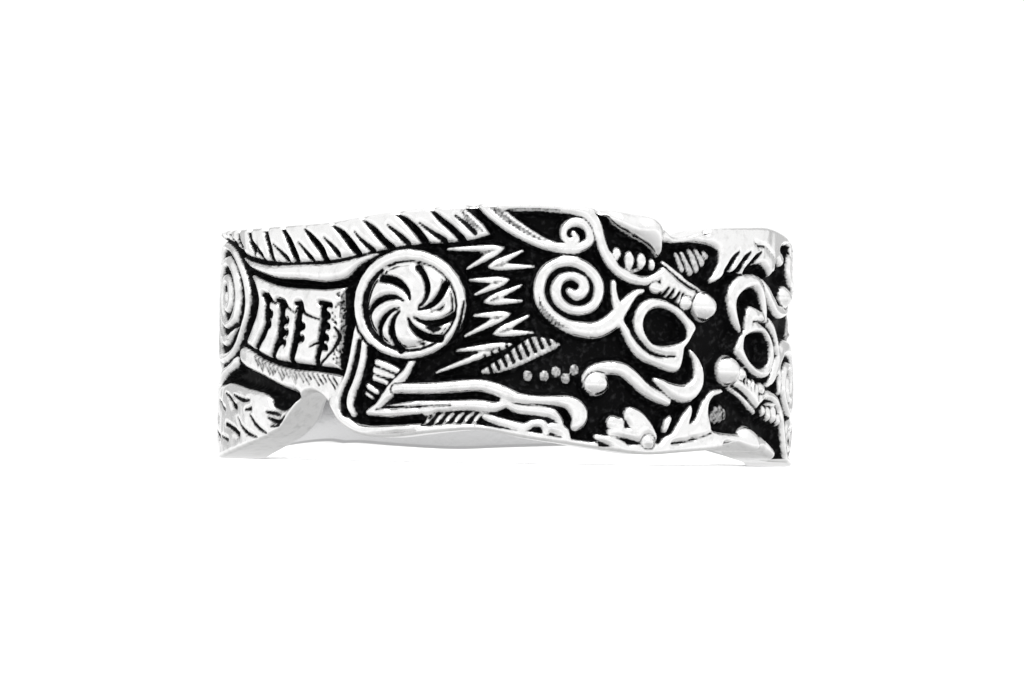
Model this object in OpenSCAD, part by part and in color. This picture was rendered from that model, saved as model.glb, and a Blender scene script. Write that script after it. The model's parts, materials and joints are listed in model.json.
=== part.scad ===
// Cast band ring with two crouching beasts nose to nose, axis upright, resting on its side.
// The relief is drawn on the unrolled band: u runs along the girth at relief_r, v is the
// height over the middle of the band, both in millimetres. u = 0 faces the -Y side.

/* [Band] */
// Diameter of the finger hole
finger_d = 19; // [18:0.5:21]
// Wall between the finger hole and the dark ground of the relief
ground_wall = 1.0; // [0.8:0.1:1.4]
// Height of the relief over its ground
relief_h = 0.6; // [0.4:0.1:0.7]
// Extra height of the brow, nose and curl over the relief
boss_h = 0.4; // [0.3:0.1:0.5]
// Highest point of the band's edge over its middle
half_height = 4.75; // [4.5:0.05:5]

/* [Layout] */
// Angle from the -Y side to the place where the two noses meet
meet_angle = 45; // [40:5:60]
// Slices of the half band that are drawn on flat planes
slices = 6; // [6:1:7]
// Length by which one beast's relief reaches past the place where the noses meet
past_meet = 1.35; // [1.2:0.05:1.4]
// Segments round the band in its wavy edges
edge_steps = 72; // [60:12:96]

/* [Shoulder and hip] */
// Outer radius of the ring round the shoulder whirl
whirl_r = 2.1; // [1.9:0.05:2.3]
// Blades of the shoulder whirl
whirl_blades = 8; // [7:1:10]
// Turn of a blade between its hub and its tip, in degrees
whirl_turn = 50; // [30:5:70]
// Width of the slits between the blades
whirl_slit = 0.3; // [0.2:0.05:0.35]

/* [Crest and ribs] */
// Long slits along the crest of the back
crest_slits = 9; // [6:1:10]
// Distance between two long slits
crest_pitch = 1.33; // [1.2:0.01:1.4]
// Slots between the ribs
rib_slots = 4; // [3:1:4]
// Distance between two rib slots
rib_pitch = 1.08; // [1:0.02:1.15]

/* [Hidden] */
$fn = 36;

finger_r = finger_d / 2;
ground_r = finger_r + ground_wall;
relief_r = ground_r + relief_h;
boss_r = relief_r + boss_h;
half_girth = PI * relief_r;
meet_u = relief_r * meet_angle * PI / 180;
tail_u = meet_u - half_girth;
slice_angle = 180 / slices;
// Length by which the cutting solids reach past what they cut
over = 1;
// Overlap of neighbouring slices, and the small step between their faces
seam = 0.02;
// Depth of the relief's roots in the ground
root = 0.4;
// Metal left in the rough hole for the finger hole to cut
hole_stock = 0.4;
// Height of the band's edges over and under its middle where the two beasts meet
meet_v = 4.12;

// Edges of the band along one beast, as [u, v], from the tails to the meeting noses
top_edge = [
    [-25, 4.1], [-23, 4.25], [-20, 4.75], [-17.5, 4.5], [-15, 4.2], [-12, 4.05], [-9, 4.0],
    [-7, 4.05], [-5, 4.3], [-3, 4.5], [-1, 4.65], [1.2, 4.75], [3, 4.6], [4.5, 4.5],
    [5.5, 4.35], [6.1, 3.95], [6.5, 3.7], [7.2, 3.75], [8, 4.0]
];
low_edge = [
    [-25, -4.05], [-22.5, -4.2], [-19, -4.5], [-17, -4.75], [-15, -4.75], [-13, -4.5],
    [-11.5, -4.2], [-10.2, -3.85], [-9.2, -3.3], [-8.75, -2.6], [-8.2, -2.2], [-7.5, -2.3],
    [-6.95, -2.75], [-6.4, -3.4], [-5.5, -3.8], [-4.3, -3.85], [-2.5, -3.65], [-0.9, -3.55],
    [0.6, -3.8], [2.2, -4.0], [3.8, -4.2], [5.4, -4.35], [7, -4.25], [8, -4.18]
];

// Middles of the whirl, the hip spiral and the jowl spiral
whirl_at = [-3.7, 1.0];
hip_at = [-14.3, 1.1];
jowl_at = [2.45, 1.5];

// Strokes of the drawing, as [u, v, half width]
crest_line = [
    [-19, 3.9, 0], [-16, 3.55, 0], [-13, 3.3, 0], [-11.5, 2.85, 0], [-9, 2.6, 0], [-7, 2.65, 0],
    [-5, 2.95, 0], [-3.5, 3.15, 0], [-1.2, 3.3, 0]
];
back_strip = [
    [-13.2, 2.95, 0.1], [-11.8, 2.5, 0.15], [-10, 2.28, 0.26], [-8, 2.15, 0.33],
    [-6.6, 2.25, 0.33], [-5.4, 2.75, 0.1]
];
ear_low = [
    [-0.9, 4.45, 0.1], [0, 3.85, 0.15], [0.9, 3.42, 0.16], [1.8, 3.15, 0.15], [2.6, 3.15, 0.16],
    [3.05, 3.5, 0.16], [2.8, 4.0, 0.15], [2.3, 4.1, 0.14], [2.0, 3.75, 0.13], [2.35, 3.5, 0.17]
];
ear_and_lid = [
    [-0.3, 4.75, 0.12], [1.2, 4.8, 0.2], [2.4, 4.7, 0.2], [3.2, 4.35, 0.22], [3.5, 3.6, 0.2],
    [3.8, 2.75, 0.19], [4.5, 2.08, 0.17], [5.3, 2.0, 0.16], [6.05, 2.35, 0.14]
];
jowl_tail = [[4.05, 0.6, 0.3], [4.3, 1.1, 0.25], [4.8, 1.5, 0.14], [5.4, 1.68, 0.06]];
jowl_prong = [[4.05, 1.9, 0.11], [4.05, 1.5, 0.12], [4.15, 1.1, 0.14]];
upper_lip = [
    [7.45, 0.2, 0.18], [7.2, 0.7, 0.18], [6.6, 1.08, 0.17], [5.95, 1.22, 0.18],
    [5.3, 1.0, 0.2], [5.0, 0.4, 0.18], [5.25, -0.25, 0.15], [5.85, -0.62, 0.13], [6.6, -0.7, 0.3]
];
lower_lip = [[4.4, 0.35, 0.1], [4.75, -0.15, 0.17], [5.5, -0.72, 0.18], [6.6, -1.15, 0.17]];
chin = [
    [7.4, -0.6, 0.1], [7.78, -1.1, 0.22], [7.7, -1.6, 0.27], [7.2, -2.05, 0.27],
    [6.6, -2.1, 0.25], [5.9, -1.68, 0.12]
];
beard_curl = [
    [3.2, -2.1, 0.12], [2.98, -1.7, 0.14], [3.3, -1.27, 0.16], [4.1, -1.12, 0.18],
    [4.9, -1.5, 0.18], [5.6, -2.05, 0.16], [6.3, -2.4, 0.1]
];
snout = [[6.1, 2.6, 0.25], [6.7, 2.1, 0.36], [7.4, 1.6, 0.36], [8.0, 1.25, 0.4]];
foreleg = [
    [-5.85, 0.3, 0.12], [-6.0, -0.5, 0.2], [-6.2, -1.4, 0.22], [-6.55, -2.2, 0.22],
    [-6.65, -2.9, 0.25], [-6.0, -3.4, 0.25], [-5, -3.62, 0.22], [-3.5, -3.58, 0.2],
    [-2, -3.45, 0.18], [-1, -3.3, 0.2]
];
foreleg_inner = [[-5.42, -0.7, 0.1], [-5.6, -1.5, 0.14], [-5.95, -2.3, 0.14], [-5.95, -2.9, 0.12]];
forearm_top = [
    [-3.8, -1.75, 0.18], [-2.5, -1.9, 0.16], [-1.1, -1.85, 0.17], [0, -2.15, 0.18],
    [0.8, -2.36, 0.16], [2.2, -2.45, 0.2], [2.75, -2.8, 0.26], [2.65, -3.3, 0.18]
];
forearm_low = [
    [-3.75, -1.2, 0.1], [-4.1, -2.0, 0.16], [-4.9, -2.7, 0.14], [-3.6, -2.75, 0.13],
    [-2, -2.65, 0.13], [-0.4, -2.5, 0.12]
];
feather = [[-0.8, -1.4, 0.1], [0.4, -0.95, 0.3], [1.2, -0.6, 0.26], [2.0, -0.35, 0.08]];
low_paw = [[-0.9, -3.3, 0.15], [0.2, -3.5, 0.2], [1.2, -3.5, 0.24], [2.2, -3.65, 0.26]];
thigh = [
    [-16.7, 0.4, 0.2], [-17.4, -0.8, 0.28], [-18.6, -2.1, 0.32], [-18.7, -3.2, 0.35],
    [-17.4, -4.1, 0.35], [-15.5, -4.35, 0.3]
];
shin = [[-13.3, -1.0, 0.3], [-14.6, -1.35, 0.22], [-16.2, -2.1, 0.25], [-17.2, -2.9, 0.25]];
tail = [
    [-16.6, 3.0, 0.2], [-18.5, 2.9, 0.3], [-20.8, 2.75, 0.34], [-23, 2.2, 0.34],
    [-24.2, 0.6, 0.34], [-23.6, -1.1, 0.32], [-22, -1.8, 0.3], [-20.5, -1.0, 0.28],
    [-20.4, 0.5, 0.26], [-21.7, 1.2, 0.24], [-22.7, 0.3, 0.22], [-22.1, -0.5, 0.26]
];
claw_stem = [
    [5.9, -4.1, 0.25], [7, -3.75, 0.3], [8, -3.4, 0.26], [8.25, -2.6, 0.22], [8.7, -2.15, 0.16],
    [9.2, -1.95, 0.12]
];

// Outlines of broad raised parts, as [u, v]
flank = [
    [-11.9, 2.1], [-10.5, 1.75], [-9, 1.5], [-7.4, 1.42], [-6.4, 1.5], [-6.6, 0.9], [-6.6, -0.2],
    [-6.5, -1.3], [-8, -1.2], [-9.6, -1.0], [-11.2, -0.6], [-12.2, -0.2], [-11.3, 0.7], [-11.3, 1.4]
];
belly = [
    [-12.7, -0.6], [-11.5, -0.95], [-10, -1.35], [-8.4, -1.5], [-6.5, -1.7], [-6.9, -2.9],
    [-8.4, -2.6], [-9.6, -1.95], [-11.2, -1.5], [-12.6, -1.1]
];
brow = [
    [3.85, 4.9], [3.8, 4.1], [4.2, 3.85], [4.9, 3.55], [5.5, 3.35], [5.8, 3.02], [6.0, 3.35],
    [6.05, 3.8], [5.8, 4.3], [5.3, 4.9]
];
hind_foot = [
    [-16.6, -2.5], [-15, -2.05], [-13, -2.0], [-11.2, -2.2], [-10, -2.5], [-9, -2.5],
    [-8.4, -2.8], [-9.2, -3.9], [-11, -4.6], [-14, -5.2], [-17, -5.2], [-17.2, -3.4]
];
fore_foot = [
    [3.7, -4.6], [3.75, -3.95], [4.3, -3.7], [4.9, -3.5], [5.5, -3.3], [5.85, -3.6],
    [5.95, -4.2], [8.7, -4.05], [8.7, -5], [3.7, -5]
];

// Ovals, as [u, v, half length, half height]
ovals = [
    [4.12, 3.0, 0.2, 0.25], [4.65, 2.78, 0.2, 0.33], [5.08, 2.76, 0.17, 0.28],
    [5.6, 2.65, 0.15, 0.22], [5.75, 1.72, 0.26, 0.17], [4.1, -3.2, 0.36, 0.26],
    [4.85, -2.95, 0.42, 0.3], [5.25, -3.3, 0.4, 0.35]
];

// Balls and pads that stand over the relief, as [u, v, radius]
bosses = [[8.1, 1.15, 0.6], [3.5, -1.8, 0.45], [5.5, -3.75, 0.35]];

// Mane tufts, as [u of the point, v of the point, u and v of the two tips]
tufts = [
    [-0.15, 3.08, -2.2, 3.0, -1.5, 2.3], [-0.7, 2.36, 0.5, 2.9, 0.95, 2.42],
    [0.0, 1.9, -1.4, 1.88, -1.2, 1.38], [-0.8, 1.1, 0.5, 1.7, 0.55, 1.18],
    [0.1, 0.65, -1.2, 0.58, -1.5, -0.1], [-0.45, -0.05, 0.8, 0.6, 0.95, 0.02],
    [0.15, -0.42, -1.8, -0.65, -2.6, -1.45]
];

// A point between b and c on the smooth curve through a, b, c and d
function blend(a, b, c, d, t) =
    0.5 * (2 * b + (c - a) * t + (2 * a - 5 * b + 4 * c - d) * t * t
        + (3 * b - a - 3 * c + d) * t * t * t);

function at(rows, i) = rows[max(0, min(len(rows) - 1, i))];

function smooth(rows, steps = 2) = concat(
    [for (i = [0 : len(rows) - 2], k = [0 : steps - 1])
        blend(at(rows, i - 1), rows[i], rows[i + 1], at(rows, i + 2), k / steps)],
    [rows[len(rows) - 1]]);

// Height of a smooth line of [u, v] rows at u
function height_at(rows, u) = lookup(u, [for (p = smooth(rows, 4)) [p.x, p.y]]);

// One side of a stroke, s = 1 for its left side and -1 for its right
function side(rows, s) = [
    for (i = [0 : len(rows) - 1])
        let (
            before = at(rows, i - 1),
            after = at(rows, i + 1),
            way = [after.x - before.x, after.y - before.y],
            off = s * rows[i].z / norm(way)
        )
        [rows[i].x - off * way.y, rows[i].y + off * way.x]
];

function reversed(list) = [for (i = [len(list) - 1 : -1 : 0]) list[i]];

function outline(rows) = concat(side(rows, 1), reversed(side(rows, -1)));

function spiral(mid, r0, r1, a0, a1, w0, w1, steps) = [
    for (i = [0 : steps])
        let (t = i / steps, r = r0 + (r1 - r0) * t, a = a0 + (a1 - a0) * t)
        [mid.x + r * cos(a), mid.y + r * sin(a), w0 + (w1 - w0) * t]
];

// A point of the unrolled band on the flat plane that touches it at u = $mid
function on_plane(p) =
    [relief_r * sin(max(-80, min(80, (p.x - $mid) / relief_r * 180 / PI))), p.y];

module patch(points) {
    polygon([for (p = points) on_plane(p)]);
}

module stroke(rows, steps = 2) {
    patch(outline(smooth(rows, steps)));
}

module oval(mid, half_u, half_v, sides) {
    patch([for (i = [0 : sides - 1])
        let (a = 360 * i / sides)
        mid + [half_u * cos(a), half_v * sin(a)]]);
}

module shoulder_whirl() {
    ring_w = 0.34;
    groove_w = 0.21;
    inner_r = whirl_r - ring_w;
    disc_r = inner_r - groove_w;
    hub_r = 0.35;
    wide = 1.05;
    difference() {
        oval(whirl_at, wide * whirl_r, whirl_r / wide, 20);
        oval(whirl_at, wide * inner_r, inner_r / wide, 20);
    }
    difference() {
        oval(whirl_at, disc_r, disc_r, 16);
        for (i = [0 : whirl_blades - 1])
            let (from = -15 + i * 360 / whirl_blades)
                stroke(spiral(whirl_at, hub_r, disc_r + groove_w / 2, from, from + whirl_turn,
                    whirl_slit / 4, whirl_slit * 0.65, 2), 1);
    }
}

module hip_disc() {
    ring_r = 2.3;
    ring_w = 0.38;
    difference() {
        oval(hip_at, ring_r, ring_r, 18);
        oval(hip_at, ring_r - ring_w, ring_r - ring_w, 18);
    }
    stroke(spiral(hip_at, 1.45, 0.4, 0, -480, 0.24, 0.2, 15), 1);
}

module jowl() {
    stroke(spiral(jowl_at, 1.55, 0.35, -25, -640, 0.3, 0.18, 22), 1);
    stroke(jowl_tail);
    stroke(jowl_prong);
}

module crest() {
    top = [for (p = crest_line) [p.x, half_height + 1]];
    difference() {
        patch(concat([for (p = crest_line) [p.x, p.y]], reversed(top)));
        for (i = [0 : crest_slits - 1])
            let (
                u = -12.4 + i * crest_pitch,
                slant = 0.45 + 0.09 * i,
                v = height_at(top_edge, u) - 0.1,
                foot = height_at(crest_line, u + slant)
            )
            stroke([[u, v, 0.1], [u + slant * 1.15, foot - 0.1, 0.2]], 1);
    }
}

module ribs() {
    difference() {
        patch(flank);
        for (i = [0 : rib_slots - 1])
            let (u = -10.6 + i * rib_pitch, bend = 0.8 - 0.15 * i, drop = 0.1 * i)
                stroke([[u, 1.4 - drop, 0.18], [u + 0.05, 0.7 - drop, 0.2],
                    [u - 0.25 * bend, -0.1 - drop, 0.18],
                    [u - bend, -0.75 - 1.3 * drop, 0.12]], 1);
    }
}

module mane() {
    for (t = tufts)
        for (k = [2, 4])
            stroke([[t[0], t[1], 0.14], [t[k], t[k + 1], 0.07]], 1);
}

module leg_ribs() {
    for (i = [0 : 2])
        let (v = -1.25 - 0.45 * i)
            stroke([[-5.1 - 0.15 * i, v + 0.1, 0.1], [-4.2 - 0.28 * i, v - 0.12, 0.12]], 1);
}

module claws() {
    difference() {
        stroke([[6.2, -4.0, 0.2], [7, -3.5, 0.45], [7.9, -3.1, 0.35]]);
        for (i = [0 : 2])
            stroke([[6.1 + 0.75 * i, -3.6 + 0.1 * i, 0.07], [6.8 + 0.7 * i, -2.8 + 0.05 * i, 0.14]], 1);
    }
    for (i = [0 : 3])
        stroke([[9.3 + 0.35 * i, -2.45 - 0.05 * i, 0.08], [9.0 + 0.38 * i, -2.95, 0.1]], 1);
}

// Everything that stands up from the ground, drawn flat around u = $mid
module relief_drawing() {
    crest();
    ribs();
    mane();
    jowl();
    hip_disc();
    shoulder_whirl();
    leg_ribs();
    claws();
    for (rows = [back_strip, lower_lip, chin, snout])
        stroke(rows);
    for (rows = [ear_low, ear_and_lid, upper_lip, beard_curl, foreleg, foreleg_inner, forearm_top,
            forearm_low, low_paw, feather, claw_stem, thigh, shin, tail])
        stroke(rows, 1);
    for (area = [belly, brow, hind_foot, fore_foot])
        patch(area);
    for (o = ovals)
        oval([o[0], o[1]], o[2], o[3], 8);
}

// The relief of one slice of the half band, between the ground and relief_r. Every other
// slice is a seam's width lower and wider, so that no two faces lie in one plane.
module relief_slice(index, sink) {
    $mid = tail_u + past_meet + half_girth * (index + 0.5) / slices;
    half_w = relief_r * sin(slice_angle / 2) + seam;
    odd = index % 2;
    intersection() {
        cylinder(r = relief_r - sink - seam * odd, h = 2 * half_height + over, center = true);
        rotate([0, 0, $mid / relief_r * 180 / PI])
            rotate([90, 0, 0])
                translate([0, 0, ground_r * cos(slice_angle / 2) - root])
                    linear_extrude(height = 2)
                        offset(delta = seam * (0.5 + 1.5 * odd))
                            intersection() {
                                square([2 * half_w, 2 * half_height + over], center = true);
                                relief_drawing();
                            }
    }
}

// A ball or pad on the relief, flattened towards the axis
module boss(u, v, r) {
    rotate([0, 0, u / relief_r * 180 / PI])
        translate([0, -(boss_r - r), v])
            sphere(r = r, $fn = 12);
}

module one_beast(sink) {
    for (i = [0 : slices - 1])
        relief_slice(i, sink);
    for (b = bosses)
        boss(b[0], b[1], b[2]);
}

module half_turned() {
    rotate(a = 180, v = [sin(meet_angle), -cos(meet_angle), 0])
        children();
}

// Height of the band's upper edge, or of its lower edge with s = -1, at u
function edge_v(u, s) =
    let (
        turned = u > meet_u,
        w = turned ? 2 * meet_u - u : u,
        upper = turned ? s < 0 : s > 0,
        rows = upper ? top_edge : low_edge,
        end = upper ? meet_v : -meet_v,
        v = height_at(concat([[tail_u, end]], rows, [[meet_u, end]]), w)
    )
    turned ? -v : v;

// What lies past the band's wavy edge, s = 1 over it and -1 under it
module beyond_edge(s) {
    inner_r = finger_r - over;
    outer_r = boss_r + over;
    far = half_height + over;
    ring = [
        for (i = [0 : edge_steps - 1])
            let (
                u = tail_u + 2 * half_girth * (i + 0.5) / edge_steps,
                a = u / relief_r * 180 / PI - 90,
                v = edge_v(u, s)
            )
            each [
                [inner_r * cos(a), inner_r * sin(a), v], [outer_r * cos(a), outer_r * sin(a), v],
                [outer_r * cos(a), outer_r * sin(a), s * far],
                [inner_r * cos(a), inner_r * sin(a), s * far]
            ]
    ];
    count = len(ring);
    faces = [
        for (i = [0 : edge_steps - 1], k = [0 : 3])
            let (
                a = 4 * i + k,
                b = 4 * i + (k + 1) % 4,
                c = (a + 4) % count,
                d = (b + 4) % count
            )
            each s > 0 ? [[a, b, d], [a, d, c]] : [[a, d, b], [a, c, d]]
    ];
    polyhedron(ring, faces);
}

// The cast body, with a rough hole that the finger hole then opens to its true size
module cast_body() {
    resize([0, 0, 2 * half_height])
        difference() {
            union() {
                cylinder(r = ground_r, h = 2 * half_height + over, center = true);
                one_beast(0);
                half_turned() one_beast(seam / 2);
            }
            beyond_edge(1);
            beyond_edge(-1);
            cylinder(r = finger_r - hole_stock, h = 2 * half_height + 2 * over, center = true);
        }
}

module band_ring() {
    color("silver")
        translate([0, 0, half_height])
            difference() {
                cast_body();
                cylinder(r = finger_r, h = 2 * half_height + 2 * over, center = true);
            }
}

band_ring();
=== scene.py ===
import json
import math
import bpy
import numpy as np
from mathutils import Matrix, Vector


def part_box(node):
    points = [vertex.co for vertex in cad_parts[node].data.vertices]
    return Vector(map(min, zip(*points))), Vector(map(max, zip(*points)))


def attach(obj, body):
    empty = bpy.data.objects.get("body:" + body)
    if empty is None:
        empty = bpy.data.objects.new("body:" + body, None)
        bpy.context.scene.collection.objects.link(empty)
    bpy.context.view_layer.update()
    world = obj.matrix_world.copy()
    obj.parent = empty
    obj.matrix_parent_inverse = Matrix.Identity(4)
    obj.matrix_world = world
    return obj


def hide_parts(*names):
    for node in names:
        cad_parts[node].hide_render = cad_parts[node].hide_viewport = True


# Oxidised silver band ring: two beasts nose to nose in raised relief, one cast piece.
# The relief is drawn on the unrolled band. u runs along the girth and v is the height over
# the middle of the band, both in millimetres, and u = 0 faces the -Y side. One drawing makes
# both beasts, because the second is the half turn of the first, with a brow, a chin and a paw
# of its own. A stroke is a list of (u, v, half width), and an outline is a list of (u, v). A
# point that comes twice makes a corner.

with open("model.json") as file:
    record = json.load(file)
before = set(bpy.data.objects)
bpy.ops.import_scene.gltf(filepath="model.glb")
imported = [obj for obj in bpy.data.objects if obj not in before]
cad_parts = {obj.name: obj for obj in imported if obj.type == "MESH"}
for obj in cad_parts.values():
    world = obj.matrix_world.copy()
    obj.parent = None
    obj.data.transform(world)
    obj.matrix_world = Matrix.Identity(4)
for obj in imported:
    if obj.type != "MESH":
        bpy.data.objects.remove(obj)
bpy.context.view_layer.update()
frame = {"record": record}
mm = 0.001
low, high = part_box("band_ring")
print("frame loaded, one cast node")

band = {
    "ground": 10.5,      # radius of the dark ground between the figures
    "relief": round((high.x - low.x) / 2 / mm, 1),  # radius over the flat tops
    "finger": frame["record"]["mounts"][0]["dims"]["r_mm"],
    "half": (high.z - low.z) / 2 / mm,
    "meetAngle": 45,     # from the -Y side to the place where the noses meet
    # where a stretch of the girth ends, and the pitch of its columns: the front is the finest
    "columns": [(-17.5, 0.26), (-12.2, 0.09), (12.2, 0.058), (17.5, 0.09), (34.5, 0.105), (43.6, 0.26)],
    "rows": 102,         # across the outside
    "swell": 0.3,        # fullness of the flanks at the left and right
    "swellFrom": 40,     # angle from the -Y side at which the fullness starts
    "swellFull": 80,     # and at which it is whole
    "rim": 0.14,         # rounding of the band's edges
    "rimSteps": 4,
    "rimFlat": 0.6,      # from a rounding to the next row of the flat rim, in roundings
    "rimShine": 0.5,     # bright enough to show no oxide
    "boreRows": 3,
}
girth = 2 * math.pi * band["relief"]
meetU = band["relief"] * math.radians(band["meetAngle"])
tailU = meetU - girth / 2
reliefHeight = band["relief"] - band["ground"]

camera = {
    "distance": 120.75,  # from the ring's axis to the lens
    "lens": 106.6,
    "sensor": 36.0,
    "elevation": -1.9,
    "roll": 0.9,         # the photo leans a little to the right
    "centreX": 506.5,    # where the ring's middle falls in the picture
    "centreY": 342.5,
    "width": 1024,
    "height": 683,
    "clip": (0.005, 5),  # nearest and farthest sight, in metres
}


def addObject(name, data):
    made = bpy.data.objects.new(name, data)
    bpy.context.scene.collection.objects.link(made)
    return made


def makeCamera(c):
    data = bpy.data.cameras.new("photoCamera")
    data.lens, data.sensor_width = c["lens"], c["sensor"]
    data.shift_x = (c["width"] / 2 - c["centreX"]) / c["width"]
    data.shift_y = (c["centreY"] - c["height"] / 2) / c["width"]
    data.clip_start, data.clip_end = c["clip"]
    viewer = addObject("photoCamera", data)
    tilt = math.radians(c["elevation"])
    reach = c["distance"] * mm
    place = (0, -reach * math.cos(tilt), band["half"] * mm + reach * math.sin(tilt))
    aim = Matrix.Rotation(math.pi / 2 - tilt, 4, "X") @ Matrix.Rotation(math.radians(c["roll"]), 4, "Z")
    viewer.matrix_world = Matrix.Translation(place) @ aim
    bpy.context.scene.camera = viewer


makeCamera(camera)
print("camera set")

# How a drawn shape becomes height and shine on the unrolled band. The height is 0 on the
# ground and 1 on a flat top, and the shine is the distance inside a polished edge.

drawing = {
    "foot": 0.09,   # width of a wall outside the edge of its polished top
    "creep": 0.03,  # how far the oxide of a slit creeps over its edges
    "darken": 1.6,  # how much sooner a cut is dark than it is deep
    "reach": 0.3,   # how far outside a figure it still counts
    "farOff": 9.0,
    "tiny": 1e-12,
}


def smoothLine(rows, steps=4, closed=False):
    rows = np.array(rows, float)
    if closed:
        padded = np.vstack([rows[-1:], rows, rows[:2]])
    else:
        padded = np.vstack([rows[:1], rows, rows[-1:]])
    t = np.linspace(0, 1, steps, endpoint=False)[:, None]
    parts = []
    for a, b, c, d in zip(padded, padded[1:], padded[2:], padded[3:]):
        curve = 2 * b + (c - a) * t + (2 * a - 5 * b + 4 * c - d) * t ** 2
        parts.append(0.5 * (curve + (3 * b - a - 3 * c + d) * t ** 3))
    return np.vstack(parts if closed else parts + [rows[-1:]])


def toSegment(u, v, start, end):
    # the share of the way along it, and the distance to it
    along, up = u - start[0], v - start[1]
    du, dv = end[0] - start[0], end[1] - start[1]
    t = np.clip((along * du + up * dv) / max(du * du + dv * dv, drawing["tiny"]), 0, 1)
    return t, np.hypot(along - t * du, up - t * dv)


def toStroke(u, v, line):
    best = np.full(u.shape, drawing["farOff"])
    for start, end in zip(line, line[1:]):
        t, d = toSegment(u, v, start, end)
        best = np.minimum(best, d - start[2] - t * (end[2] - start[2]))
    return best


def toOutline(u, v, line):
    best, inside = np.full(u.shape, drawing["farOff"]), np.zeros(u.shape, bool)
    for start, end in zip(line, np.roll(line, -1, axis=0)):
        best = np.minimum(best, toSegment(u, v, start, end)[1])
        (du, dv), up = end - start, v - start[1]
        crossed = (start[1] > v) != (end[1] > v)
        inside ^= crossed & (u < start[0] + du * up / (dv or drawing["tiny"]))
    return np.where(inside, -best, best)


def distances(canvas, shape, reach, steps):
    shape = np.array(shape, float)
    stroke = shape.shape[1] == 3
    line = smoothLine(shape, steps, not stroke) if steps > 1 else shape
    wide = reach + (line[:, 2].max() if stroke else 0)
    first, last = line[:, :2].min(0) - wide, line[:, :2].max(0) + wide
    u, v = canvas["u"], canvas["v"]
    near = np.flatnonzero((u > first[0]) & (u < last[0]) & (v > first[1]) & (v < last[1]))
    measure = toStroke if stroke else toOutline
    return near, measure(u[near], v[near], line)


def rounded(x, power=3):
    # 2 gives a dome, 3 a flat top with rounded shoulders
    return (1 - (1 - np.clip(x, 0, 1)) ** power) ** (1 / power)


def cut(canvas, shape, edge=0.13, gap=0.0, depth=1.0, steps=4):
    near, d = distances(canvas, shape, gap + edge + drawing["creep"], steps)
    d = d - gap - drawing["creep"]
    foot = min(drawing["foot"], edge)
    canvas["height"][near] *= 1 - depth * (1 - rounded((d + foot) / (edge + foot)))
    dark = np.minimum(canvas["shine"][near], d)
    canvas["shine"][near] += (dark - canvas["shine"][near]) * min(1.0, depth * drawing["darken"])


def lift(canvas, shape, top=1.0, edge=0.24, gap=0.0, bright=1.0, power=3, steps=4):
    if gap:
        cut(canvas, shape, gap=gap, steps=steps)
    near, d = distances(canvas, shape, drawing["reach"], steps)
    foot = drawing["foot"]
    raised = top * rounded((foot - d) / (edge + foot), power)
    canvas["height"][near] = np.maximum(canvas["height"][near], raised)
    canvas["shine"][near] = np.maximum(canvas["shine"][near], np.minimum(-d, bright))


def cutAll(canvas, shapes, **how):
    for shape in shapes:
        cut(canvas, shape, **how)


def liftAll(canvas, shapes, **how):
    for shape in shapes:
        lift(canvas, shape, **how)


def stainAndShade(canvas, shape, level=-0.014, dent=0.12, edge=0.06, steps=4):
    # a slightly hollow place on a top, painted grey: oxide that has stayed in some places, painted shade
    # in others
    near, d = distances(canvas, shape, edge, steps)
    inside = np.clip(0.5 - d / edge, 0, 1)
    shine = canvas["shine"][near]
    canvas["height"][near] *= 1 - dent * inside
    canvas["shine"][near] = shine + (np.minimum(shine, level) - shine) * inside


def oval(mid, halfU, halfV, turn=0, count=24):
    a = np.linspace(0, 2 * math.pi, count, endpoint=False)
    c, s = math.cos(math.radians(turn)), math.sin(math.radians(turn))
    x, y = halfU * np.cos(a), halfV * np.sin(a)
    return np.column_stack([mid[0] + x * c - y * s, mid[1] + x * s + y * c])


def slimmed(rows, share):
    return [[(u, v, share * wide) for u, v, wide in row] for row in rows]


def repeated(row, count, first, pitch):
    # one short stroke again and again, where each of its points has a rise of its own
    for i in range(count):
        yield [(first + i * pitch + u, v + i * rise, wide) for u, v, wide, rise in row]


# The back of the beast: a crest of slits, a smooth strip and the ribbed flank

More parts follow.
